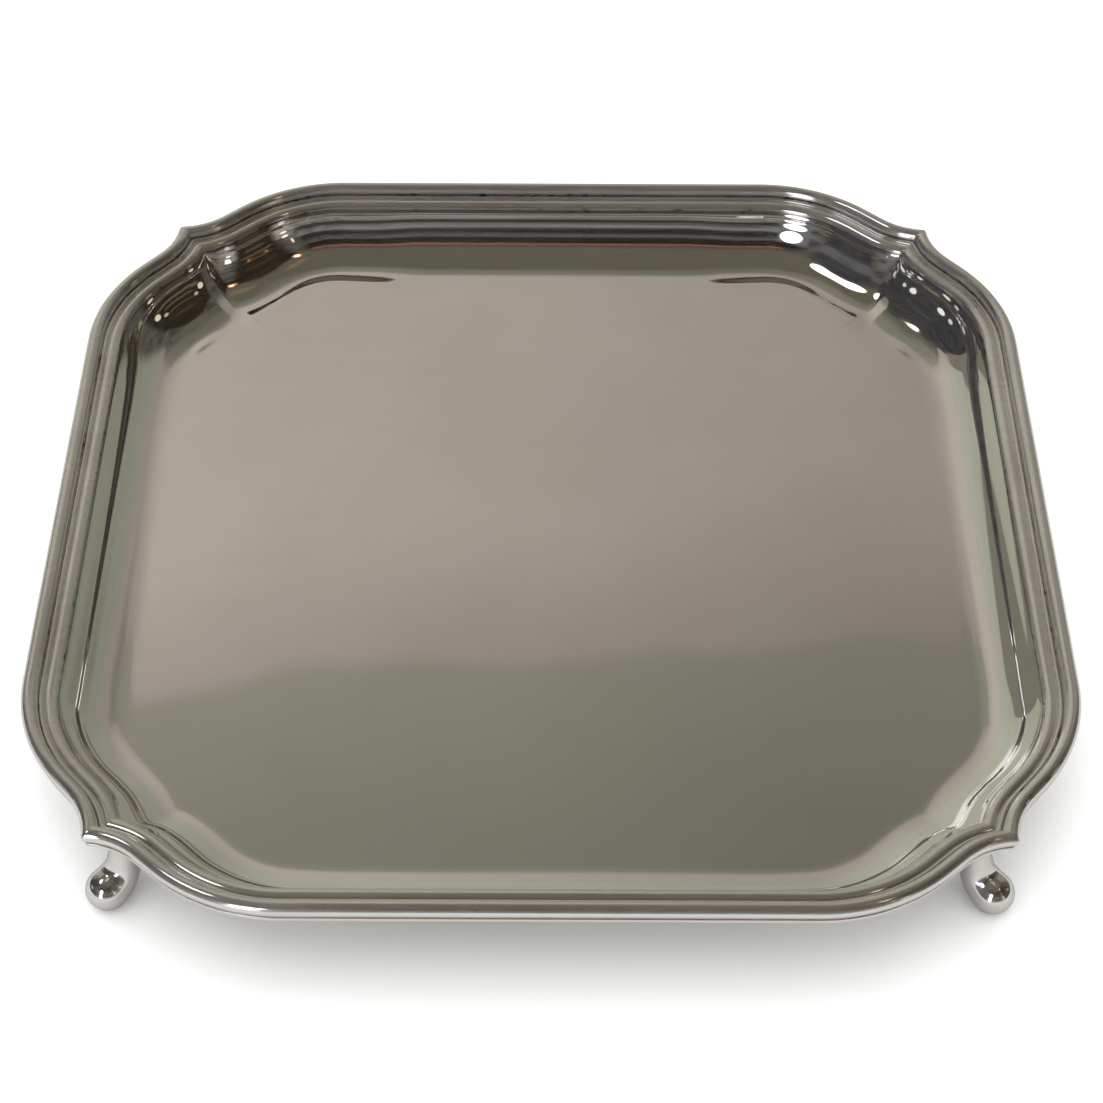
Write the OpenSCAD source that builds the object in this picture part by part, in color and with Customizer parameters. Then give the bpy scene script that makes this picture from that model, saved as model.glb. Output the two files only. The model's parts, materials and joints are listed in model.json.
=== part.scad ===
// Square silver salver with cut-in corners.
// One raised plate, four mitred lengths of moulded border, and four cast pad feet.
// +Z is up. The origin is on the table, under the centre of the tray.

/* [Tray] */
// Width over the border, side to side
tray_w = 254; // [200:1:320]
// Height from the table to the top of the outer bead
tray_h = 29.4; // [27:0.2:33]
// Height of the tray floor's upper face above the table
floor_z = 13; // [11:0.5:15]
// Thickness of the silver sheet
sheet_t = 0.8; // [0.7:0.1:1.2]

/* [Corners] */
// Outer radius of the rounded bend at each end of a side
bend_r = 45.6; // [42:0.2:50]
// Outer radius of the hollow that runs on to the corner point
hollow_r = 18.2; // [16:0.2:22]
// Angle that the outline turns through, out and back again
bend_turn = 41.5; // [39:0.5:44]
// Straight length between the bend and the hollow
link_len = 6; // [4:0.1:9]

/* [Border] */
// Radius of the round outer bead
bead_r = 1.9; // [1.6:0.1:2.1]
// Radius of the small reeded fillet
fillet_r = 0.62; // [0.5:0.02:0.7]
// Radius of the inner roll
roll_r = 2.2; // [2:0.1:2.4]
// Width of the moulding, from outer edge to inner edge
border_w = 8.6; // [8.4:0.1:8.8]

/* [Well] */
// How far the curved wall of the well runs in before it is level
cove_run = 13.9; // [10:0.1:18]
// Flat facets along the curve of the well's wall
cove_steps = 12; // [8:1:16]

/* [Feet] */
// Distance from the tray's centre to a foot's pad, along the diagonal
pad_reach = 147.4; // [146.5:0.1:148]
// Radius of the rounded pad
pad_r = 5.1; // [4.6:0.1:5.4]
// Radius of the stem where it is thinnest
stem_r = 2.9; // [2.5:0.1:3.4]

/* [Hidden] */
quarter = 90;
clear = 5;

// The outline along half of the front side: straight, bend, link and hollow
bend_steps = 9;
hollow_steps = 6;
run_steps = bend_steps + 1 + hollow_steps;
half_w = tray_w / 2;
curve_sum = bend_r + hollow_r;
tip = half_w - curve_sum * (1 - cos(bend_turn)) - link_len * sin(bend_turn);
straight_half = tip - curve_sum * sin(bend_turn) - link_len * cos(bend_turn);

// Places in the border's section, as [inset from the outline, height]
bead_at = [bead_r, tray_h - bead_r];
fillet_at = [2 * bead_r + 0.7, bead_at.y - 1.15];
roll_at = [border_w - 2, bead_at.y - 2.85];
seat_z = tray_h - 4.1;
neck_in = 0.9;
flange_in = 0.6;

// The roll stops just short of the fillet, and leaves a fine groove
groove_w = 0.05;
groove_turn = 35;
roll_from = acos((border_w - roll_at.x) / roll_r);
roll_to = 180 - acos((roll_at.x - fillet_at.x - fillet_r - groove_w) / roll_r);
roll_steps = 7;
fillet_steps = 5;
bead_steps = 14;

// The well's wall is a quarter ellipse between the border and the floor
cove_in = border_w + cove_run;
cove_drop = seat_z - floor_z;
underside_from = asin(sheet_t / (cove_drop + sheet_t));

// Points on an arc, counter-clockwise
function arc(centre, r, from, to, steps) = [
    for (i = [0:steps])
        let (a = from + (to - from) * i / steps)
        centre + r * [cos(a), sin(a)]
];

// Points [inset, height] on the quarter ellipse, grown outwards by t
function cove_points(t, from) = [
    for (i = [0:cove_steps])
        let (a = from + (quarter - from) * i / cove_steps)
        [cove_in - (cove_run + t) * cos(a), seat_z - (cove_drop + t) * sin(a)]
];

function reversed(list) = [for (i = [len(list) - 1:-1:0]) list[i]];

// Section of the silver sheet: up the well's wall, over the flange and down the underside
sheet_section = concat(
    reversed(cove_points(0, 0)),
    [[flange_in, seat_z], [flange_in, seat_z - sheet_t]],
    cove_points(sheet_t, underside_from)
);

// Section of the moulded wire: a flat base, the inner roll, the fillet and the outer bead
border_section = concat(
    [[neck_in, seat_z], [border_w, seat_z]],
    arc(roll_at, roll_r, roll_from, roll_to, roll_steps),
    arc(fillet_at, fillet_r, 0, 180, fillet_steps),
    arc(bead_at, bead_r, -groove_turn, 180 + acos((bead_r - neck_in) / bead_r), bead_steps)
);

// Its mitred ends are four faces: roll, fillet, bead, and the core that joins them
roll_ids = [for (i = [0:roll_steps]) 2 + i];
fillet_ids = [for (i = [0:fillet_steps]) 3 + roll_steps + i];
bead_ids = [for (i = [0:bead_steps]) 4 + roll_steps + fillet_steps + i];
core_ids = [0, 1, for (ids = [roll_ids, fillet_ids, bead_ids]) each [ids[0], ids[len(ids) - 1]]];
border_ends = [roll_ids, fillet_ids, bead_ids, core_ids];

// Everything above the sheet's underside, which a foot's top is cut to fit
cut_section = concat(
    [[cove_in, tray_h + clear], [-clear, tray_h + clear], [-clear, seat_z - sheet_t]],
    cove_points(sheet_t, underside_from)
);
cut_ends = [[for (i = [0:len(cut_section) - 1]) i]];

// Angle at which the hollow, moved in by inset, meets the diagonal
function mitre_turn(inset) =
    let (r = hollow_r + inset)
    asin((sqrt(2 * r * r - hollow_r * hollow_r) - hollow_r) / (2 * r));

// Step i of the right half of the front side, on the outline moved in by inset
function half_run(i, inset) =
    i <= bend_steps
    ? let (r = bend_r - inset, t = bend_turn * i / bend_steps)
      [straight_half + r * sin(t), bend_r - half_w - r * cos(t)]
    : let (r = hollow_r + inset, u = (i - bend_steps - 1) / hollow_steps)
      let (t = bend_turn + (mitre_turn(inset) - bend_turn) * u)
      [tip - r * sin(t), r * cos(t) - hollow_r - tip];

// The whole front side, from the left mitre to the right one
function side_line(inset) = [
    for (side = [-1, 1])
        for (i = [0:run_steps])
            let (p = half_run(side < 0 ? run_steps - i : i, inset))
            [side * p.x, p.y]
];

// A section of [inset, height] pairs, carried along the front side as rings of points
function side_rings(section) =
    let (lines = [for (p = section) side_line(p.x)])
    [
        for (j = [0:len(lines[0]) - 1])
            [for (k = [0:len(section) - 1]) [each lines[k][j], section[k].y]]
    ];

// A point turned by k quarter turns about Z
function turned(p, k) = [
    cos(k * quarter) * p.x - sin(k * quarter) * p.y,
    sin(k * quarter) * p.x + cos(k * quarter) * p.y,
    p.z
];

// Triangles between neighbouring rings of n points. Where the rings go all the way around,
// they join up and their section stays open, and otherwise the section is closed.
function skin(rings, n, around) = [
    for (j = [0:rings - (around ? 1 : 2)])
        for (k = [0:n - (around ? 2 : 1)])
            let (a = j * n, b = (j + 1) % rings * n, l = (k + 1) % n)
            each [[a + k, b + k, a + l], [a + l, b + k, b + l]]
];

// The front side's whole run of a section, closed at its mitres by the faces in ends
module side_run(section, ends) {
    rings = side_rings(section);
    n = len(section);
    last = (len(rings) - 1) * n;
    polyhedron(
        points = [for (ring = rings) each ring],
        faces = concat(
            skin(len(rings), n, false),
            ends,
            [for (face = ends) [for (i = reversed(face)) i + last]]
        )
    );
}

// The raised sheet: flange, curved wall and floor in one piece
module plate() {
    side = side_rings(sheet_section);
    n = len(sheet_section);
    around = 4 * (len(side) - 1);
    top = around * n;
    color("silver")
        polyhedron(
            points = [
                for (k = [0:3])
                    for (j = [0:len(side) - 2])
                        for (p = side[j])
                            turned(p, k),
                [0, 0, floor_z],
                [0, 0, floor_z - sheet_t],
            ],
            faces = [
                each skin(around, n, true),
                for (j = [0:around - 1])
                    let (a = j * n, b = (j + 1) % around * n)
                    each [[a, top, b], [a + n - 1, b + n - 1, top + 1]]
            ]
        );
}

// One length of the moulded border, soldered on the plate's flange
module border(k) {
    color("gainsboro")
        rotate(k * quarter)
            side_run(border_section, border_ends);
}

// A foot's centre line, as [reach along the diagonal, height, radius]
foot_line = [
    [pad_reach, pad_r - 0.7, pad_r],
    [pad_reach - 2.2, pad_r + 0.1, pad_r - 0.25],
    [pad_reach - 4.2, pad_r + 1.6, pad_r - 0.6],
    [pad_reach - 5.4, pad_r + 3.8, pad_r - 1],
    [pad_reach - 5.9, pad_r + 6.6, stem_r + 0.7],
    [pad_reach - 6.1, pad_r + 9.6, stem_r + 0.2],
    [pad_reach - 6.1, pad_r + 12.4, stem_r],
    [pad_reach - 5.8, pad_r + 15.2, stem_r + 0.4],
    [pad_reach - 5.2, pad_r + 17.4, stem_r + 1.2],
    [pad_reach - 4.9, pad_r + 19, stem_r + 2],
];

// One cast foot, under the right-hand end of side k: flat below, and cut to the underside above
module foot(k) {
    color("lightgray")
        rotate(k * quarter)
            difference() {
                intersection() {
                    rotate(-quarter / 2)
                        for (i = [1:len(foot_line) - 1])
                            hull()
                                for (p = [foot_line[i - 1], foot_line[i]])
                                    translate([p[0], 0, p[1]])
                                        sphere(p[2], $fn = 24);
                    translate([0, -tray_w, 0])
                        cube([tray_w, tray_w, tray_h]);
                }
                for (turn = [0, quarter])
                    rotate(turn)
                        side_run(cut_section, cut_ends);
            }
}

plate();
border(0);  // border_front
border(1);  // border_right
border(2);  // border_back
border(3);  // border_left
foot(0);  // foot_front_right
foot(1);  // foot_back_right
foot(2);  // foot_back_left
foot(3);  // foot_front_left
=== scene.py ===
"""Square silver salver: the finished look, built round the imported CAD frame.

Everything is in metres, in the CAD frame: +Z up, the table at z = 0, the front side on -Y.
A point of the tray is given by its inset (how far in from the outer edge, square to it),
its height, and its place along the outline.
"""
import json
import math

import bmesh
import bpy
import numpy as np
from mathutils import Matrix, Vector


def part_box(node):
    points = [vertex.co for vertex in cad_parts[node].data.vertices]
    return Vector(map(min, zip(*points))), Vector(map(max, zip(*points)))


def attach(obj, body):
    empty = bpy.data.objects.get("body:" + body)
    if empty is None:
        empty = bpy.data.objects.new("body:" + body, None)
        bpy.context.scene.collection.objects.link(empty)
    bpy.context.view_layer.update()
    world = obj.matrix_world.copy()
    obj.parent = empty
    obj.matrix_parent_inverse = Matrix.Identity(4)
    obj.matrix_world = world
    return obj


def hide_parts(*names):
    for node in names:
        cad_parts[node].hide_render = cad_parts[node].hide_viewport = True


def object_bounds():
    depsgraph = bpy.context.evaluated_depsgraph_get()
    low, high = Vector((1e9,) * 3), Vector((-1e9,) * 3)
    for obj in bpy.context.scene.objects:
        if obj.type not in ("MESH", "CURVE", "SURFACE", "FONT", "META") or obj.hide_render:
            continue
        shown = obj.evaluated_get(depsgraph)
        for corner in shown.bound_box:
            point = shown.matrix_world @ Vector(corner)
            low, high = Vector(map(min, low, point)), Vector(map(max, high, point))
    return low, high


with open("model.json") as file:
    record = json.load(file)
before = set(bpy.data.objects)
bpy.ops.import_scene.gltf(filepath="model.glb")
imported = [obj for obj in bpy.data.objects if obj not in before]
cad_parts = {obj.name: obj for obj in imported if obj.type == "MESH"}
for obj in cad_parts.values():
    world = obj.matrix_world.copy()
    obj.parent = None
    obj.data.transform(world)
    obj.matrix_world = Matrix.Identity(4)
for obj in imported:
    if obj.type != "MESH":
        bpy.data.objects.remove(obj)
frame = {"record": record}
CAD_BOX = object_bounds()
MM = 0.001

# ---- Sizes, from the frame where it holds them -------------------------------------------
HALF = CAD_BOX[1].x
RIM_Z = CAD_BOX[1].z
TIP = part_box("border_front")[1].x
SEAT_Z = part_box("border_front")[0].z
FLOOR_Z = next(m["pos_m"][2] for m in frame["record"]["mounts"] if m["name"] == "tray_floor")
SHEET = FLOOR_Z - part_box("plate")[0].z
FLANGE_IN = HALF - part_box("plate")[1].x

# The outline: straight, rounded bend, short link, hollow up to the corner point
BEND_R = 45.6 * MM
HOLLOW_R = 18.2 * MM
TURN = math.radians(41.5)
LINK = 6 * MM
STRAIGHT = TIP - (BEND_R + HOLLOW_R) * math.sin(TURN) - LINK * math.cos(TURN)

# The border's section
BEAD_R = 1.9 * MM
FILLET_R = 0.62 * MM
ROLL_R = 2.2 * MM
BEAD_ARC = (-35, 238.2)
FILLET_ARC = (0, 180)
ROLL_ARC = (24.6, 130.5)
BORDER_W = 8.6 * MM
NECK_IN = 0.9 * MM
BEAD_AT = (BEAD_R, RIM_Z - BEAD_R)
FILLET_AT = (2 * BEAD_R + 0.7 * MM, BEAD_AT[1] - 1.15 * MM)
ROLL_AT = (BORDER_W - 2 * MM, BEAD_AT[1] - 2.85 * MM)
SEAT_GROOVE = (BORDER_W, SEAT_Z)
REED_GROOVES = [(4.45 * MM, RIM_Z - 3.3 * MM), (3.75 * MM, RIM_Z - 2.6 * MM)]
GROOVE_W = 0.5 * MM

# The well's wall: slow to leave the floor, then turning up steeply under the border. The
# powers shape its foot and its head, and the foot rises sooner at the back and in the corners.
COVE_RUN = 16.4 * MM
COVE_IN = BORDER_W + COVE_RUN
COVE_DROP = SEAT_Z - FLOOR_Z
COVE_FOOT, COVE_HEAD = 3.2, 0.7
CORNER_FOOT = 2.3
CORNER_CLIMB = (48, 30)
WALL_CUTS, UNDERSIDE_CUTS, SOLDER_CUTS = 44, 22, 64
WALL_GATHER = 2.2
WAVE_H = 0.03 * MM

# The low ridge at the foot of the back bends: its crest's inset, how far the crest bows out
# in the bend, its height, the widths of its outer and inner slopes, how much it swells at the
# creases, and the share of the wall's run that stays level under it
RIDGE_IN, RIDGE_BOW, RIDGE_H = 26.7 * MM, 1.4 * MM, 0.14 * MM
RIDGE_OUTER, RIDGE_INNER = 2.5 * MM, 3.6 * MM
RIDGE_SWELL = 0.4
RIDGE_LEVEL = 0.1

# Where it starts, swells and ends past the crease, as the distance from a side's middle and
# the length it takes, in mm, and the middle and spread of its bow
RIDGE_START, RIDGE_SWELLS, RIDGE_TAIL = (40, 12), (72, 8), (83, 4)
RIDGE_BEND = (71, 12)

# The short mark in each side wall: its inset, width and height, and its place and length
# along the side in mm
DENT_IN, DENT_W, DENT_H = 24 * MM, 1.1 * MM, 0.2 * MM
DENT_AT, DENT_LONG = 72.5, 3

# Cuts along half a side, how closely they gather at the corner, and how softly the crease
# on the diagonal is rounded on the border and in the well, less what it loses at the foot
STRAIGHT_CUTS, BEND_CUTS, LINK_CUTS, HOLLOW_CUTS = 18, 28, 4, 32
HOLLOW_GATHER = 1.7
CREASE_EDGE = 0.35 * MM
CREASE_WALL, CREASE_HEAD_W = 1.7 * MM, 1.5 * MM
CREASE_LOSS, CREASE_LOSS_IN, CREASE_LOSS_W = 0.9 * MM, 12 * MM, 10 * MM

# Steps round the roll, the fillet and the bead, and the angles past which an edge is hard
ROLL_STEPS, FILLET_STEPS, BEAD_STEPS = 20, 12, 44
HARD_EDGE, FOOT_HARD_EDGE = 40, 35


# ---- The outline --------------------------------------------------------------------------
def mitre_turn(inset):
    """Angle of the hollow where, moved in by inset, it meets the diagonal."""
    r = HOLLOW_R + inset
    return math.asin((math.sqrt(2 * r * r - HOLLOW_R**2) - HOLLOW_R) / (2 * r))


def half_side(inset):
    """Points from the front side's middle to its right-hand mitre, moved in by inset."""
    u = np.linspace(0, 1, STRAIGHT_CUTS, endpoint=False)
    straight = np.column_stack([STRAIGHT * u, np.full_like(u, inset - HALF)])
    t = TURN * np.linspace(0, 1, BEND_CUTS, endpoint=False)
    r = BEND_R - inset
    bend = np.column_stack([STRAIGHT + r * np.sin(t), BEND_R - HALF - r * np.cos(t)])
    start = np.array([STRAIGHT + r * math.sin(TURN), BEND_R - HALF - r * math.cos(TURN)])
    u = np.linspace(0, 1, LINK_CUTS, endpoint=False)[:, None]
    link = start + LINK * u * np.array([math.cos(TURN), math.sin(TURN)])
    u = 1 - (1 - np.linspace(0, 1, HOLLOW_CUTS)) ** HOLLOW_GATHER
    t = TURN + (mitre_turn(inset) - TURN) * u
    r = HOLLOW_R + inset
    hollow = np.column_stack([TIP - r * np.sin(t), r * np.cos(t) - HOLLOW_R - TIP])
    return soften(np.vstack([straight, bend, link, hollow]), inset)


def climb(value, start, width):
    """A straight rise from 0 at start to 1 a width further on."""
    return np.clip((value - start) / width, 0, 1)


def bell(value, middle, spread):
    """A smooth hump of height 1 round the middle."""
    return np.exp(-(((value - middle) / spread) ** 2))


def soften(points, inset):
    """Rounds the crease on the diagonal: nearly sharp on the border, wide in the well."""
    radius = CREASE_EDGE + (CREASE_WALL - CREASE_EDGE) * climb(inset, BORDER_W, CREASE_HEAD_W)
    radius -= CREASE_LOSS * climb(inset, CREASE_LOSS_IN, CREASE_LOSS_W)
    away = -(points[:, 0] + points[:, 1]) / math.sqrt(2)
    slope = math.tan(math.pi / 4 - mitre_turn(inset))
    back = slope * (np.sqrt(away**2 + radius**2) - away) / math.sqrt(2)
    return points + np.column_stack([-back, back])


def front_side(inset):
    """The whole front side, from the left mitre to the right one."""
    right = half_side(inset)
    left = right[:0:-1] * [-1, 1]
    return np.vstack([left, right])


def turned(points, quarters):
    """Points turned about Z by quarter turns."""
    c, s = [(1, 0), (0, 1), (-1, 0), (0, -1)][quarters % 4]
    x, y = points[..., 0], points[..., 1]
    return np.concatenate([
        np.stack([c * x - s * y, s * x + c * y], -1),
        points[..., 2:],
    ], -1)


# ---- Materials ----------------------------------------------------------------------------
# Linear colours of the metal and of what gathers in its grooves
SILVER_COOL = (0.965, 0.958, 0.95)
SILVER_WARM = (0.945, 0.937, 0.92)
TARNISH = (0.15, 0.13, 0.13)
SPECK = (0.05, 0.04, 0.035)
SPECK_SHARE = 0.6
DIRT_ROUGH = 0.25
VEIL_ROUGH = 0.55
BUMP_STRENGTH = 0.05
BUMP_DEPTH = 0.02 * MM


def add(tree, kind, links=None, **settings):
    """A new node with its settings, and its inputs linked or set."""
    node = tree.nodes.new(kind)
    for key, value in settings.items():
        setattr(node, key, value)
    for key, value in (links or {}).items():
        if isinstance(value, bpy.types.NodeSocket):
            tree.links.new(value, node.inputs[key])
        else:
            node.inputs[key].default_value = value
    return node


def maths(tree, operation, a, b=0.0, c=0.0, clamp=False):
    """The result of a Math node."""
    links = {0: a, 1: b, 2: c}
    made = add(tree, "ShaderNodeMath", links, operation=operation, use_clamp=clamp)
    return made.outputs[0]


def ramp(tree, value, low, high, out_low=0.0, out_high=1.0):
    """The value taken from low..high to out_low..out_high with soft ends."""
    links = {"Value": value, "From Min": low, "From Max": high,
             "To Min": out_low, "To Max": out_high}
    made = add(tree, "ShaderNodeMapRange", links, interpolation_type="SMOOTHSTEP")
    return made.outputs["Result"]


def blend_colour(tree, amount, a, b):
    """Colour a turning into colour b by amount."""
    made = add(tree, "ShaderNodeMix", {"Factor": amount}, data_type="RGBA")
    for key, value in ((6, a), (7, b)):
        if isinstance(value, bpy.types.NodeSocket):
            tree.links.new(value, made.inputs[key])
        else:
            made.inputs[key].default_value = (*value, 1)
    return made.outputs[2]


def noise(tree, place, scale, detail=2.0, roughness=0.5, distort=0.0):
    """A noise texture's value at a place."""
    links = {"Vector": place, "Scale": scale, "Detail": detail,
             "Roughness": roughness, "Distortion": distort}
    return add(tree, "ShaderNodeTexNoise", links).outputs["Fac"]


def stretched(tree, place, turn_deg, stretch):
    """Places turned about Z and squeezed along one way, for lines of polishing."""
    links = {"Vector": place, "Rotation": (0, 0, math.radians(turn_deg)), "Scale": stretch}
    return add(tree, "ShaderNodeMapping", links).outputs["Vector"]


def new_material(name):
    """A node material with an empty tree."""
    material = bpy.data.materials.new(name)
    material.use_nodes = True
    material.node_tree.nodes.clear()
    return material, material.node_tree


def wipe_lines(tree, place):
    """Fine crossing lines left by a polishing cloth: 1 on a line, 0 off it."""
    wipe = noise(tree, stretched(tree, place, 31, (60, 2600, 900)), 1.0, 2.0)
    rub = noise(tree, stretched(tree, place, -52, (90, 3400, 1200)), 1.0, 2.0)
    return maths(tree, "MAXIMUM", ramp(tree, wipe, 0.64, 0.78), ramp(tree, rub, 0.66, 0.8))


def silver_tint(tree, place, cloud, tarnish):
    """The metal's colour, with tarnish and dark specks in the grooves, and where it is dirty."""
    groove = add(tree, "ShaderNodeAttribute", attribute_name="groove").outputs["Fac"]
    dirt = maths(tree, "MULTIPLY", groove, ramp(tree, cloud, 0.25, 0.55, 0.6, 1.0))
    dirt = maths(tree, "MULTIPLY", dirt, tarnish, clamp=True)
    grain = noise(tree, place, 420.0, 3.0, 0.6)
    specks = maths(tree, "MULTIPLY", ramp(tree, grain, 0.55, 0.61), ramp(tree, cloud, 0.45, 0.55))
    specks = maths(tree, "MULTIPLY", specks, ramp(tree, groove, 0.02, 0.3), clamp=True)
    specks = maths(tree, "MULTIPLY", specks, SPECK_SHARE)
    colour = blend_colour(tree, ramp(tree, cloud, 0.35, 0.7), SILVER_COOL, SILVER_WARM)
    colour = blend_colour(tree, dirt, colour, TARNISH)
    return blend_colour(tree, specks, colour, SPECK), dirt


def make_silver(name, polish, lines, haze, tarnish):
    """Polished silver: a clear reflection under a thin haze of fine wear, cloudy polish,
    wipe lines, and dark tarnish down in the grooves."""
    material, tree = new_material(name)
    place = add(tree, "ShaderNodeTexCoord").outputs["Object"]
    cloud = noise(tree, place, 38.0, 4.0, 0.6)
    smear = noise(tree, stretched(tree, place, 24, (9, 70, 30)), 1.0, 3.0, 0.55, 0.6)
    scratch = wipe_lines(tree, place)
    colour, dirt = silver_tint(tree, place, cloud, tarnish)

    rough = ramp(tree, smear, 0.3, 0.75, polish, polish * 2)
    rough = maths(tree, "MULTIPLY_ADD", scratch, lines, rough)
    rough = maths(tree, "MULTIPLY_ADD", dirt, DIRT_ROUGH, rough, clamp=True)
    height = maths(tree, "MULTIPLY_ADD", scratch, -0.25, maths(tree, "MULTIPLY", cloud, 0.6))
    relief = {"Height": height, "Strength": BUMP_STRENGTH, "Distance": BUMP_DEPTH}
    bump = add(tree, "ShaderNodeBump", relief).outputs["Normal"]
    clear = add(tree, "ShaderNodeBsdfPrincipled", {
        "Base Color": colour, "Metallic": 1.0, "Roughness": rough, "Normal": bump,
    })
    veil = add(tree, "ShaderNodeBsdfPrincipled", {
        "Base Color": colour, "Metallic": 1.0, "Roughness": VEIL_ROUGH,
    })
    worn = ramp(tree, smear, 0.3, 0.7, haze * 0.6, haze * 1.4)
    both = add(tree, "ShaderNodeMixShader", {
        "Fac": worn, 1: clear.outputs[0], 2: veil.outputs[0],
    })
    add(tree, "ShaderNodeOutputMaterial", {"Surface": both.outputs[0]})
    return material


# Roughness, roughness added by the wipe lines, share of haze, and strength of the tarnish
SHEET_SILVER = make_silver("sheet_silver", 0.02, 0.04, 0.04, 1.0)
BORDER_SILVER = make_silver("border_silver", 0.04, 0.05, 0.38, 0.4)
CAST_SILVER = make_silver("cast_silver", 0.05, 0.05, 0.16, 0.9)


# ---- Meshes -------------------------------------------------------------------------------
def arc(centre, r, start, end, steps):
    """Points on an arc in a section, counter-clockwise, with angles in degrees."""
    a = np.radians(np.linspace(start, end, steps + 1))
    return np.column_stack([centre[0] + r * np.cos(a), centre[1] + r * np.sin(a)])


def grid_faces(rings, n, around):
    """Quads between rings of n points. Rings that go all the way round keep an open section."""
    j, k = np.meshgrid(
        np.arange(rings if around else rings - 1),
        np.arange(n - 1 if around else n), indexing="ij",
    )
    a, b, m = j * n, (j + 1) % rings * n, (k + 1) % n
    return np.stack([a + k, b + k, b + m, a + m], -1).reshape(-1, 4).tolist()


def new_mesh(name, points, groove, faces, sharp_deg, material):
    """A smooth-shaded mesh object, with hard edges where faces meet at more than sharp_deg.
    groove says, for each point, how deep it lies in a groove where polish never reaches."""
    mesh = bpy.data.meshes.new(name)
    mesh.from_pydata(points.reshape(-1, 3).tolist(), [], faces)
    depth = mesh.attributes.new("groove", "FLOAT", "POINT")
    depth.data.foreach_set("value", np.broadcast_to(groove, points.shape[:-1]).ravel())
    bm = bmesh.new()
    bm.from_mesh(mesh)
    bmesh.ops.remove_doubles(bm, verts=bm.verts, dist=1e-7)
    bmesh.ops.recalc_face_normals(bm, faces=bm.faces)
    bm.to_mesh(mesh)
    bm.free()
    mesh.shade_smooth()
    mesh.set_sharp_from_angle(angle=math.radians(sharp_deg))
    mesh.materials.append(material)
    piece = bpy.data.objects.new(name, mesh)
    bpy.context.scene.collection.objects.link(piece)
    return piece


def near(section, spots, spread):
    """How near each section point is to the closest spot, from 1 on it down to 0."""
    gaps = [np.hypot(section[..., 0] - x, section[..., 1] - z) for x, z in spots]
    return bell(np.min(gaps, axis=0), 0, spread)


def wall_height(run, foot=COVE_FOOT):
    """Height of the wall's face above the floor, at a share of its run from foot to head."""
    run = np.clip(run, 0, 1)
    return COVE_DROP * (1 - (1 - run**foot) ** COVE_HEAD)


def wall_section(steps):
    """The wall's face as [inset, height], from the floor to the border."""
    run = 1 - (1 - np.linspace(0, 1, steps + 1)) ** WALL_GATHER
    return np.column_stack([COVE_IN - COVE_RUN * run, FLOOR_Z + wall_height(run)])


def underside_section(wall):
    """The wall's back, a sheet's thickness behind its face, from the flange to the floor."""
    along = np.gradient(wall, axis=0)
    out = np.column_stack([-along[:, 1], along[:, 0]])
    back = wall + SHEET * out / np.linalg.norm(out, axis=1)[:, None]
    top = SEAT_Z - SHEET
    start = np.interp(top, back[:, 1], back[:, 0])
    back = back[back[:, 1] < top - 0.1 * MM][::-1]
    back[-1] = (COVE_IN, FLOOR_Z - SHEET)
    return np.vstack([[[start, top]], back])


def side_rings(section):
    """A section of [inset, height] points carried along the front side, as rings of points."""
    lines = [front_side(inset) for inset, _ in section]
    return np.stack([
        np.column_stack([line, np.full(len(line), z)])
        for line, (_, z) in zip(lines, section)
    ], 1)


def waves(x, y):
    """The faint unevenness of a hand-raised floor, as a height."""
    return WAVE_H * (
        np.sin(x / (19 * MM) + 1.1) * np.cos(y / (23 * MM) + 0.4)
        + 0.7 * np.sin(x / (31 * MM) - y / (27 * MM) + 2.0)
        + 0.5 * np.cos(x / (13 * MM) + y / (17 * MM))
    )


def ridge_along(foot):
    """Where along each side of the wall's foot a low ridge was left from raising the corners:
    round both back bends, and just past their creases into the sides."""
    reach = np.abs(foot[:, 0]) / MM
    back = climb(reach, *RIDGE_START) * (1 + RIDGE_SWELL * climb(reach, *RIDGE_SWELLS))
    tail = (1 + RIDGE_SWELL) * climb(reach, *RIDGE_TAIL)
    none = np.zeros(len(foot))
    right = np.where(foot[:, 0] > 0, tail, none)
    left = np.where(foot[:, 0] < 0, tail, none)
    return np.concatenate([none, right, back, left])


def dent_along(foot):
    """Where along the two sides a short mark of the same work lies in the back bend."""
    mark = bell(foot[:, 0] / MM, DENT_AT, DENT_LONG)
    none = np.zeros(len(foot))
    return np.concatenate([none, mark, none, mark[::-1]])


def ridge_height(gap):
    """The ridge's height at a gap in from its crest: steep towards the wall, gentle inside."""
    outer = np.clip(1 + gap / RIDGE_OUTER, 0, 1)
    return RIDGE_H * np.where(gap < 0, outer, bell(gap, 0, RIDGE_INNER))


def hand_marks(inset, foot, along):
    """The height that the ridge and the short marks add to the sheet's upper face."""
    bow = np.tile(bell(np.abs(foot[:, 0]) / MM, *RIDGE_BEND), 4)
    crest = (RIDGE_IN - RIDGE_BOW * bow)[:, None]
    dent = DENT_H * bell(inset, DENT_IN, DENT_W) * dent_along(foot)[:, None]
    return ridge_height(inset - crest) * along[:, None] + dent


def wall_face(wall, foot, along):
    """Heights of the wall's face all round. It leaves the floor sooner at the back and in the
    corners, and keeps a level strip at its foot where the ridge runs."""
    corner = np.tile(climb(np.abs(foot[:, 0]) / MM, *CORNER_CLIMB), 4)
    corner[2 * len(foot):3 * len(foot)] = 1
    corner = corner * corner * (3 - 2 * corner)
    power = COVE_FOOT + (CORNER_FOOT - COVE_FOOT) * corner
    strip = RIDGE_LEVEL * np.minimum(along, 1)[:, None]
    run = ((COVE_IN - wall[:, 0]) / COVE_RUN - strip) / (1 - strip)
    return FLOOR_Z + wall_height(run, power[:, None])


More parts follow.
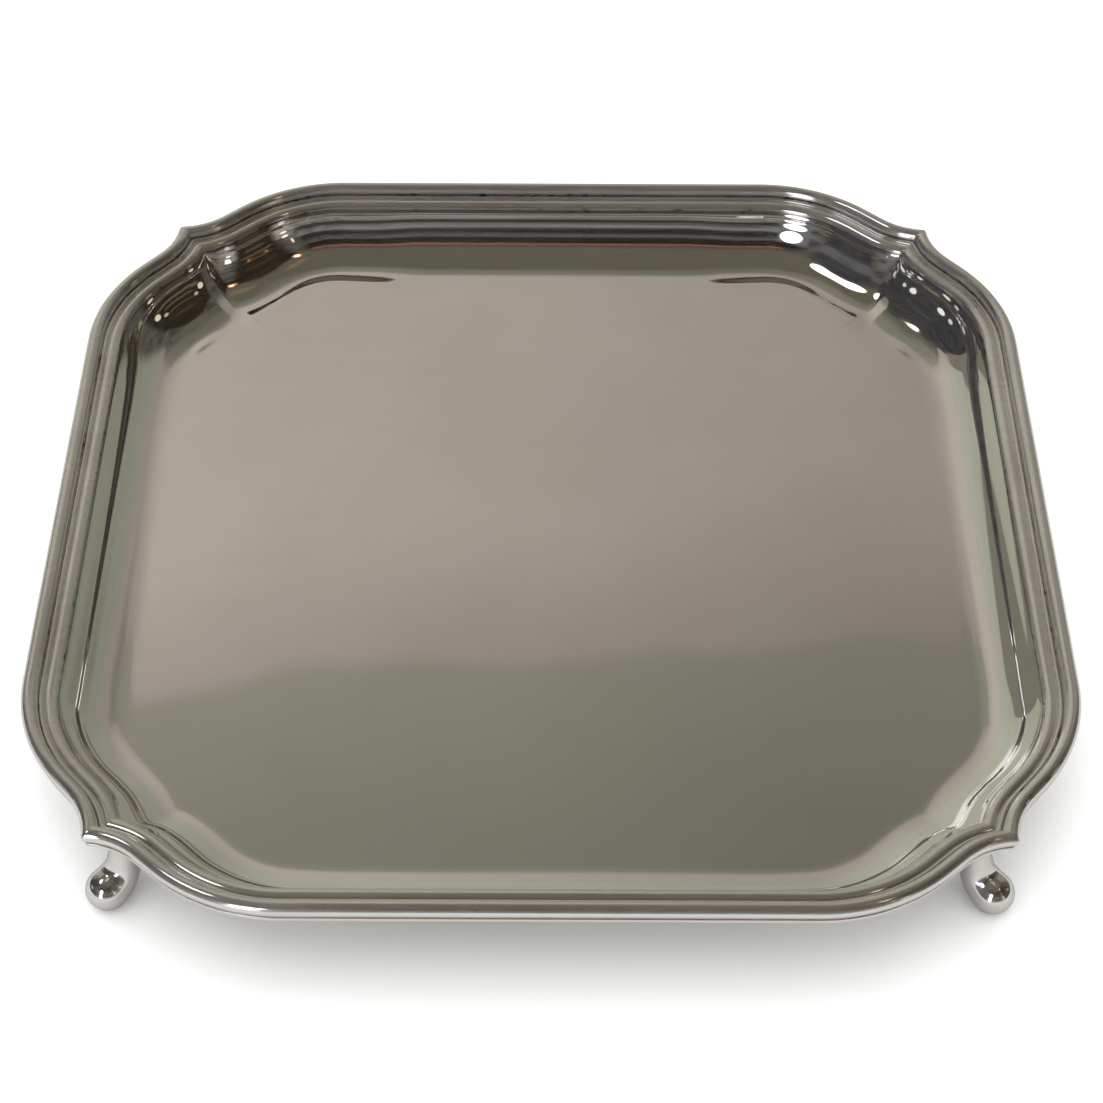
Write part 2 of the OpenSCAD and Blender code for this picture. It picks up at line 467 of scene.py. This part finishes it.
def shrunk(edge, shares, height):
    """An edge drawn in towards the tray's centre by each of the shares, at one height."""
    rings = edge * shares[None, :, None]
    rings[..., 2] = height
    return rings


def make_plate():
    """The raised sheet as one closed skin, from the floor's centre over the flange and back."""
    wall = wall_section(WALL_CUTS)
    flange = np.array([[FLANGE_IN, SEAT_Z], [FLANGE_IN, SEAT_Z - SHEET]])
    section = np.vstack([wall, flange, underside_section(wall_section(UNDERSIDE_CUTS))])
    side = side_rings(section)[:-1]
    ring = np.concatenate([turned(side, k) for k in range(4)])
    out = np.concatenate([np.linspace(0, 0.955, 14)[:-1], np.linspace(0.955, 1, 18)[:-1]])
    top = shrunk(ring[:, :1], out, FLOOR_Z)
    bottom = shrunk(ring[:, -1:], np.linspace(0, 1, 12)[-2::-1], FLOOR_Z - SHEET)
    skin = np.concatenate([top, ring, bottom], 1)

    foot = side[:, 0]
    along = ridge_along(foot)
    face = slice(len(out), len(out) + len(wall))
    skin[:, face, 2] = wall_face(wall, foot, along)
    floor_share = np.clip((SEAT_Z - skin[..., 2]) / COVE_DROP, 0, 1) ** 8
    skin[..., 2] += waves(skin[..., 0], skin[..., 1]) * floor_share
    inset = np.concatenate([
        COVE_IN + np.linalg.norm(ring[:, :1, :2], axis=2) * (1 - out),
        np.broadcast_to(wall[:, 0], (len(ring), len(wall))),
    ], 1)
    skin[:, :face.stop, 2] += hand_marks(inset, foot, along)

    groove = near(section, [SEAT_GROOVE], GROOVE_W)
    groove = np.concatenate([np.zeros(top.shape[1]), groove, np.zeros(bottom.shape[1])])
    faces = grid_faces(skin.shape[0], skin.shape[1], True)
    return new_mesh("tray_sheet", skin, groove, faces, HARD_EDGE, SHEET_SILVER)


def make_border(name, quarters):
    """One mitred length of moulded wire: base, inner roll, fillet and outer bead."""
    section = np.vstack([
        [[NECK_IN, SEAT_Z], [BORDER_W, SEAT_Z]],
        arc(ROLL_AT, ROLL_R, *ROLL_ARC, ROLL_STEPS),
        arc(FILLET_AT, FILLET_R, *FILLET_ARC, FILLET_STEPS),
        arc(BEAD_AT, BEAD_R, *BEAD_ARC, BEAD_STEPS),
    ])
    skin = side_rings(section)
    rings, n = skin.shape[:2]
    ends = [list(range(n)), [(rings - 1) * n + k for k in range(n)]]
    groove = near(section, [SEAT_GROOVE, *REED_GROOVES], GROOVE_W)
    faces = grid_faces(rings, n, False) + ends
    return new_mesh(name, turned(skin, quarters), groove, faces, HARD_EDGE, BORDER_SILVER)


SIDES = ["front", "right", "back", "left"]

plate = make_plate()
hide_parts("plate")
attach(plate, "root")
for k, side in enumerate(SIDES):
    wire = make_border(f"{side}_moulding", k)
    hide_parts(f"border_{side}")
    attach(wire, "root")


# ---- Feet ---------------------------------------------------------------------------------
# A foot's centre line, as [reach along the diagonal, height, radius]
FOOT_LINE = MM * np.array([
    [147.4, 4.4, 5.1], [145.2, 5.2, 4.85], [143.2, 6.7, 4.5], [142.0, 8.9, 4.1],
    [141.5, 11.7, 3.6], [141.3, 14.7, 3.1], [141.3, 17.5, 2.9], [141.6, 20.3, 3.3],
    [142.2, 22.5, 4.1], [142.5, 24.1, 4.9],
])
FOOT_SIDES = 48
LINE_STEPS, PAD_STEPS, TOP_STEPS = 6, 20, 14
STEEPEST = 0.95
SOLDER_IN = 0.15 * MM
SOLDER_GROOVE = 0.7 * MM


def underside(x, y):
    """Height of the sheet's underside near the front right corner."""
    far, close = np.maximum(x, -y), np.minimum(x, -y)
    inset = np.hypot(close - TIP, far - TIP - HOLLOW_R) - HOLLOW_R
    back = underside_section(wall_section(SOLDER_CUTS))
    return np.interp(inset, back[:, 0], back[:, 1])


def smooth_line(points, per):
    """A smooth curve through the points, with per steps between each pair."""
    ends = [2 * points[0] - points[1]], points, [2 * points[-1] - points[-2]]
    p = np.vstack(ends)
    t = np.linspace(0, 1, per, endpoint=False)[:, None]
    rows = [
        0.5 * (2 * p[i] + (p[i + 1] - p[i - 1]) * t
               + (2 * p[i - 1] - 5 * p[i] + 4 * p[i + 1] - p[i + 2]) * t**2
               + (3 * p[i] - p[i - 1] - 3 * p[i + 1] + p[i + 2]) * t**3)
        for i in range(1, len(p) - 2)
    ]
    return np.vstack(rows + [p[-2:-1]])


def cap_rings(end, along, turns, way):
    """Rings of a round cap on one end of a foot's line, at angles from the cap's pole."""
    return [
        (end[:2] + way * end[2] * math.cos(turn) * along, end[2] * math.sin(turn), along)
        for turn in turns
    ]


def foot_rings():
    """A foot's rings from bottom to top, as (centre, radius, direction)."""
    line = smooth_line(FOOT_LINE, LINE_STEPS)
    step = np.gradient(line, axis=0)
    length = np.hypot(step[:, 0], step[:, 1])
    along = step[:, :2] / length[:, None]
    grow = np.clip(step[:, 2] / length, -STEEPEST, STEEPEST)
    bottom = np.linspace(0, math.acos(grow[0]), PAD_STEPS)[:-1]
    top = np.linspace(0, math.acos(-grow[-1]), TOP_STEPS)[:-1][::-1]
    rings = cap_rings(line[0], along[0], bottom, -1)
    for p, d, g in zip(line, along, grow):
        rings.append((p[:2] - p[2] * g * d, p[2] * math.sqrt(1 - g * g), d))
    return rings + cap_rings(line[-1], along[-1], top, 1)


def make_foot(name, quarters):
    """One cast foot: a round pad, drawn up into a stem that spreads under the corner."""
    a = np.linspace(0, 2 * math.pi, FOOT_SIDES, endpoint=False)
    skin = np.array([
        np.column_stack([
            centre[0] - r * d[1] * np.cos(a),
            r * np.sin(a),
            centre[1] + r * d[0] * np.cos(a),
        ])
        for centre, r, d in foot_rings()
    ])
    reach, across, height = skin[..., 0], skin[..., 1], skin[..., 2]
    diagonal = math.sqrt(0.5)
    x, y = diagonal * (reach + across), diagonal * (across - reach)
    gap = underside(x, y) - height
    height = np.clip(height, 0, underside(x, y) + SOLDER_IN)
    skin = np.stack([x, y, height], -1)
    groove = bell(np.maximum(gap, 0), 0, SOLDER_GROOVE)
    faces = grid_faces(len(skin), FOOT_SIDES, False)
    return new_mesh(name, turned(skin, quarters), groove, faces, FOOT_HARD_EDGE, CAST_SILVER)


for k, corner in enumerate(["front_right", "back_right", "back_left", "front_left"]):
    foot = make_foot(f"{corner}_pad_foot", k)
    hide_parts(f"foot_{corner}")
    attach(foot, "root")


# ---- Studio -------------------------------------------------------------------------------
def linear(r, g, b, strength=1.0):
    """A display colour out of 255 as a linear one."""
    rows = [c / 255 for c in (r, g, b)]
    return tuple(
        strength * (c / 12.92 if c < 0.04045 else ((c + 0.055) / 1.055) ** 2.4) for c in rows
    )


# What the silver reflects: soft cards and lights round the tray, later ones over earlier ones.
# Each is the azimuth and elevation of its middle, its width and height, how soft its upright
# and its level edges are (all in degrees, with azimuth 0 behind the tray and 90 to the
# right), its colour and its strength.
ROOM = [
    (0, 10, 400, 92, 1, 10, (80, 76, 72), 1.0),
    (-92, 26, 70, 66, 10, 8, (58, 57, 57), 1.0),
    (102, 30, 48, 60, 8, 8, (42, 37, 29), 1.0),
    (143, 24, 20, 76, 8, 8, (105, 98, 90), 1.0),
    (138, 8, 26, 18, 10, 4, (157, 151, 142), 1.0),
]
LIGHTS = [
    (-155, 18, 28, 52, 6, 6, (104, 103, 106), 1.0),
    (-118, 30, 20, 16, 10, 8, (92, 90, 93), 1.0),
    (108, 19, 24, 2.4, 8, 1.2, (92, 82, 58), 1.0),
    (105, 27, 22, 2.2, 8, 1.2, (84, 72, 48), 1.0),
    (104, 38, 18, 2, 8, 1, (72, 60, 40), 1.0),
    (102, 11, 24, 2.2, 8, 1, (100, 90, 64), 1.0),
    (112, 24, 1.6, 4, 1, 1, (190, 130, 84), 1.0),
    (174, 56.5, 52, 2.5, 10, 2, (150, 90, 62), 1.0),
    (92, 72, 56, 6, 10, 4, (124, 102, 82), 1.0),
]

# Oval lamps: azimuth, elevation, width and height in degrees, colour, strength
LAMPS = [
    (-157, 2, 17, 8, (255, 255, 255), 2.2),
    (-156, 13, 19, 11, (255, 255, 255), 2.6),
    (-157, 32, 20, 21, (255, 255, 255), 2.6),
    (-83, 65, 42, 12, (255, 254, 253), 2.8),
    (-97, 15, 8, 8, (240, 239, 232), 1.0),
    (-86, 13, 5, 6, (205, 206, 196), 1.0),
    (123, 60, 13, 9, (214, 138, 82), 0.8),
    (123, 60, 8, 5, (255, 236, 208), 2.5),
    (133, 11, 6, 3.5, (250, 246, 240), 1.2),
    (133, 17.5, 6, 3.5, (250, 246, 240), 1.2),
    (137, 29, 2.4, 9, (235, 232, 230), 1.0),
    (88, 17, 6, 9, (215, 212, 185), 1.0),
    (94, 25, 4.5, 5, (176, 170, 150), 1.0),
]

# Shelves and openings in the dark room behind the camera, from the table's level up
SHELVES = [(0, (126, 123, 118)), (8, (118, 115, 111)), (11.5, (46, 45, 42)),
           (15, (54, 53, 49)), (19, (98, 97, 92)), (24, (114, 113, 108)),
           (28, (56, 55, 51)), (32.5, (36, 35, 34)), (37, (70, 68, 66)),
           (42, (88, 83, 78)), (46, (33, 28, 26)), (52, (42, 37, 34)),
           (58, (72, 67, 63)), (64, (88, 83, 77))]

# The pale backdrop behind the tray, dimmer to the right: azimuth and colour
BACKDROP = [(-50, (158, 152, 142)), (-43, (170, 162, 151)), (-27, (180, 171, 160)),
            (-13, (178, 169, 159)), (0, (165, 156, 147)), (8, (154, 146, 138)),
            (14, (147, 138, 129)), (30, (143, 135, 128)), (46, (137, 131, 121)),
            (60, (98, 93, 85))]

# Cards in front of the backdrop, in ROOM's order
OVER_BACKDROP = [
    (-52.6, 16, 13, 46, 0.8, 10, (117, 114, 102), 1.0),
    (-22, 6, 14, 7, 8, 4, (232, 228, 220), 1.0),
    (20, 9, 34, 4, 16, 3, (108, 102, 92), 1.0),
]
CEILING = (92, 89, 76)

# The wall over the backdrop's edge, by elevation, and the edge's elevation
UPPER_WALL = [(50, (138, 135, 123)), (54, (124, 122, 110)), (58, (118, 116, 104))]
EDGE_AT = 50.0
GREENER = (0.94, 1.05, 0.99)

# The dark room behind the camera and the wall over the backdrop, as a card's middle, size
# and softness
BEHIND_CAMERA = ((180, 20), (84, 90), (24, 8))
OVER_EDGE = ((0, 50), (80, 27), (30, 8))

# How wavy the cards' edges and the backdrop's upper edge look, in degrees, and where a lamp's
# soft rim starts and ends, as the square of a share of its own size
WAVY_AZ, WAVY_EL, WAVY_EDGE = 7.0, 4.0, 0.8
LAMP_RIM = (0.75, 1.25)


def card_mask(tree, azimuth, elevation, place, size, soft):
    """Where a card is seen: 1 inside it, with soft edges."""
    across = maths(tree, "WRAP", maths(tree, "SUBTRACT", azimuth, place[0]), 180.0, -180.0)
    across = maths(tree, "ABSOLUTE", across)
    up = maths(tree, "ABSOLUTE", maths(tree, "SUBTRACT", elevation, place[1]))
    ends = [((size[i] - soft[i]) / 2, (size[i] + soft[i]) / 2) for i in range(2)]
    return maths(tree, "MULTIPLY", ramp(tree, across, *ends[0], 1.0, 0.0),
                 ramp(tree, up, *ends[1], 1.0, 0.0))


def hang_lamps(tree, azimuth, elevation, colour, lamps):
    """The colour with each oval lamp laid over it in turn."""
    for middle, height, wide, tall, tint, strength in lamps:
        across = maths(tree, "DIVIDE", maths(tree, "SUBTRACT", azimuth, middle), wide / 2)
        up = maths(tree, "DIVIDE", maths(tree, "SUBTRACT", elevation, height), tall / 2)
        away = maths(tree, "MULTIPLY_ADD", across, across, maths(tree, "MULTIPLY", up, up))
        inside = ramp(tree, away, *LAMP_RIM, 1.0, 0.0)
        colour = blend_colour(tree, inside, colour, linear(*tint, strength))
    return colour


def hang_cards(tree, azimuth, elevation, colour, cards):
    """The colour with each card laid over it in turn."""
    for middle, height, wide, tall, soft_az, soft_el, tint, strength in cards:
        inside = card_mask(tree, azimuth, elevation, (middle, height), (wide, tall),
                           (soft_az, soft_el))
        colour = blend_colour(tree, inside, colour, linear(*tint, strength))
    return colour


def graded(tree, value, stops):
    """A colour that changes along the value, through the stops."""
    low, high = stops[0][0], stops[-1][0]
    share = maths(tree, "DIVIDE", maths(tree, "SUBTRACT", value, low), high - low)
    made = add(tree, "ShaderNodeValToRGB", {"Fac": share})
    line = made.color_ramp.elements
    line[0].position, line[0].color = 0, (*linear(*stops[0][1]), 1)
    line[1].position, line[1].color = 1, (*linear(*stops[-1][1]), 1)
    for at, tint in stops[1:-1]:
        line.new((at - low) / (high - low)).color = (*linear(*tint), 1)
    return made.outputs["Color"]


def scaled(tree, colour, amount, plain=1.0, share=0.0):
    """The colour made brighter or dimmer by amount, or by plain instead for a share of it."""
    amount = add(tree, "ShaderNodeMix", {0: share, 2: amount, 3: plain}).outputs[0]
    links = {0: colour, "Scale": amount}
    return add(tree, "ShaderNodeVectorMath", links, operation="SCALE").outputs[0]


def ray_angles(tree, way):
    """Azimuth and elevation of a way in degrees. They come level, and also a little wavy, so
    that the edges of cards look as they do in hand-raised silver. The last output is the
    waviness that the edge of the backdrop shares."""
    axes = add(tree, "ShaderNodeSeparateXYZ", {"Vector": way}).outputs
    wobble = add(tree, "ShaderNodeTexNoise", {"Vector": way, "Scale": 6.0, "Detail": 1.0})
    shift = add(tree, "ShaderNodeSeparateColor", {"Color": wobble.outputs["Color"]}).outputs
    level_az = maths(tree, "DEGREES", maths(tree, "ARCTAN2", axes["X"], axes["Y"]))
    level_el = maths(tree, "DEGREES", maths(tree, "ARCSINE", axes["Z"]))
    azimuth = maths(tree, "MULTIPLY_ADD", shift["Red"], WAVY_AZ,
                    maths(tree, "SUBTRACT", level_az, WAVY_AZ / 2))
    elevation = maths(tree, "MULTIPLY_ADD", shift["Green"], WAVY_EL,
                      maths(tree, "SUBTRACT", level_el, WAVY_EL / 2))
    return level_az, level_el, azimuth, elevation, shift["Green"]


def dark_room(tree, way, azimuth, elevation):
    """The cards all round, and the dark room with its shelves behind the camera."""
    colour = hang_cards(tree, azimuth, elevation, linear(*CEILING), ROOM)
    dark = card_mask(tree, azimuth, elevation, *BEHIND_CAMERA)
    colour = blend_colour(tree, dark, colour, graded(tree, elevation, SHELVES))
    clutter = noise(tree, stretched(tree, way, 0, (7, 7, 15)), 1.0, 5.0, 0.65, 0.4)
    high = ramp(tree, elevation, 52.0, 62.0)
    colour = scaled(tree, colour, ramp(tree, clutter, 0.38, 0.62, 0.66, 1.28), 1.0, high)
    return hang_cards(tree, azimuth, elevation, colour, LIGHTS)


def edge_elevation(tree, level_az, level_el, wave):
    """Elevation measured so that the backdrop's uneven upper edge lies at EDGE_AT: lower on
    the right, with a small rise in the middle and a step on the left."""
    lean = maths(tree, "ADD", level_el, ramp(tree, level_az, 2.0, 12.0, 0.0, 1.05))
    middle = ramp(tree, maths(tree, "ABSOLUTE", level_az), 0.5, 5.0, 0.5, 0.0)
    lean = maths(tree, "SUBTRACT", lean, middle)
    lean = maths(tree, "ADD", lean, ramp(tree, level_az, -12.2, -9.5, -0.25, 0.0))
    lean = maths(tree, "SUBTRACT", lean, WAVY_EDGE / 2)
    return maths(tree, "MULTIPLY_ADD", wave, WAVY_EDGE, lean)


def hang_upper_wall(tree, azimuth, elevation, level_az, lean, colour):
    """The colour with the greyer wall over the backdrop laid on it, dimmer to the right."""
    wall = graded(tree, lean, UPPER_WALL)
    wall = scaled(tree, wall, ramp(tree, level_az, -12.0, 14.0, 1.02, 0.78))
    over = card_mask(tree, azimuth, elevation, *OVER_EDGE)
    return blend_colour(tree, over, colour, wall)


def hang_backdrop(tree, way, azimuth, elevation, lean, colour):
    """The colour with the pale backdrop laid on it, cloudy, dimmer along its upper edge, and
    a little greener low down."""
    pale = graded(tree, azimuth, BACKDROP)
    pale = scaled(tree, pale, ramp(tree, noise(tree, way, 9.0, 4.0, 0.6), 0.3, 0.7, 0.97, 1.03))
    pale = scaled(tree, pale, ramp(tree, lean, EDGE_AT - 4, EDGE_AT + 1, 1.0, 0.76))
    greener = add(tree, "ShaderNodeVectorMath", {0: pale, 1: GREENER}, operation="MULTIPLY")
    low = ramp(tree, elevation, 30.0, 42.0, 1.0, 0.0)
    pale = blend_colour(tree, low, pale, greener.outputs[0])
    left = ramp(tree, azimuth, -56.0, -54.0)
    right = ramp(tree, azimuth, 48.0, 66.0, 1.0, 0.0)
    under = ramp(tree, lean, EDGE_AT, EDGE_AT + 0.3, 1.0, 0.0)
    behind = maths(tree, "MULTIPLY", maths(tree, "MULTIPLY", left, right), under)
    return blend_colour(tree, behind, colour, pale)


def make_room():
    """The world: a room and a pale backdrop, seen only in reflections."""
    world = bpy.data.worlds.new("studio")
    bpy.context.scene.world = world
    world.use_nodes = True
    world.cycles.sampling_method = "NONE"
    tree = world.node_tree
    tree.nodes.clear()
    way = add(tree, "ShaderNodeTexCoord").outputs["Generated"]
    level_az, level_el, azimuth, elevation, wave = ray_angles(tree, way)
    colour = dark_room(tree, way, azimuth, elevation)
    colour = hang_lamps(tree, level_az, level_el, colour, LAMPS)
    lean = edge_elevation(tree, level_az, level_el, wave)
    colour = hang_upper_wall(tree, azimuth, elevation, level_az, lean, colour)
    colour = hang_backdrop(tree, way, azimuth, elevation, lean, colour)
    colour = hang_cards(tree, level_az, elevation, colour, OVER_BACKDROP)

    rays = add(tree, "ShaderNodeLightPath").outputs
    glossy = add(tree, "ShaderNodeBackground", {"Color": colour, "Strength": 1.0})
    plain = add(tree, "ShaderNodeBackground", {"Color": SOFT_WHITE, "Strength": WHITE_STRENGTH})
    both = add(tree, "ShaderNodeMixShader", {
        "Fac": rays["Is Glossy Ray"], 1: plain.outputs[0], 2: glossy.outputs[0],
    })
    add(tree, "ShaderNodeOutputWorld", {"Surface": both.outputs[0]})


# What rays other than reflected ones see, and the floor as seen and as reflected
SOFT_WHITE, WHITE_STRENGTH = (1, 1, 0.99, 1), 1.1
FLOOR_SEEN = (0.95, 0.95, 0.945)
FLOOR_REFLECTED = (0.46, 0.45, 0.435)
FLOOR_HALF = 4.0


def make_floor():
    """A plain pale table top under the tray, rather dimmer in the silver than it looks."""
    material, tree = new_material("pale_floor")
    rays = add(tree, "ShaderNodeLightPath").outputs
    shade = blend_colour(tree, rays["Is Glossy Ray"], FLOOR_SEEN, FLOOR_REFLECTED)
    cloth = add(tree, "ShaderNodeBsdfDiffuse", {"Color": shade})
    add(tree, "ShaderNodeOutputMaterial", {"Surface": cloth.outputs[0]})
    mesh = bpy.data.meshes.new("floor")
    square = [(-1, -1), (1, -1), (1, 1), (-1, 1)]
    corners = [(FLOOR_HALF * x, FLOOR_HALF * y, 0) for x, y in square]
    mesh.from_pydata(corners, [], [(0, 1, 2, 3)])
    mesh.materials.append(material)
    floor = bpy.data.objects.new("floor", mesh)
    bpy.context.scene.collection.objects.link(floor)


def make_lamp():
    """A broad soft lamp over the table. It lights the floor, and the silver doesn't show it."""
    data = bpy.data.lights.new("soft_lamp", "AREA")
    data.shape = "DISK"
    data.size = 1.6
    data.energy = 9.0
    lamp = bpy.data.objects.new("soft_lamp", data)
    lamp.location = (-0.25, 0.1, 1.1)
    lamp.visible_glossy = False
    bpy.context.scene.collection.objects.link(lamp)


make_room()
make_floor()
make_lamp()
scene_view = bpy.context.scene.view_settings
scene_view.view_transform = "Standard"
scene_view.look = "None"


# ---- Camera -------------------------------------------------------------------------------
SENSOR_MM, LENS_MM = 36, 79.88
CAMERA_AT = (0, -0.43288, 0.48411)
LOOK_DOWN, ROLL = 47.70, 0.246


def make_camera():
    """The picture's own view: from the front, looking down at nearly 48 degrees."""
    data = bpy.data.cameras.new("camera")
    data.sensor_width = SENSOR_MM
    data.lens = LENS_MM
    camera = bpy.data.objects.new("camera", data)
    bpy.context.scene.collection.objects.link(camera)
    tilt = Matrix.Rotation(math.radians(90 - LOOK_DOWN), 4, "X")
    roll = Matrix.Rotation(math.radians(ROLL), 4, "Z")
    camera.matrix_world = Matrix.Translation(CAMERA_AT) @ tilt @ roll
    bpy.context.scene.camera = camera


make_camera()
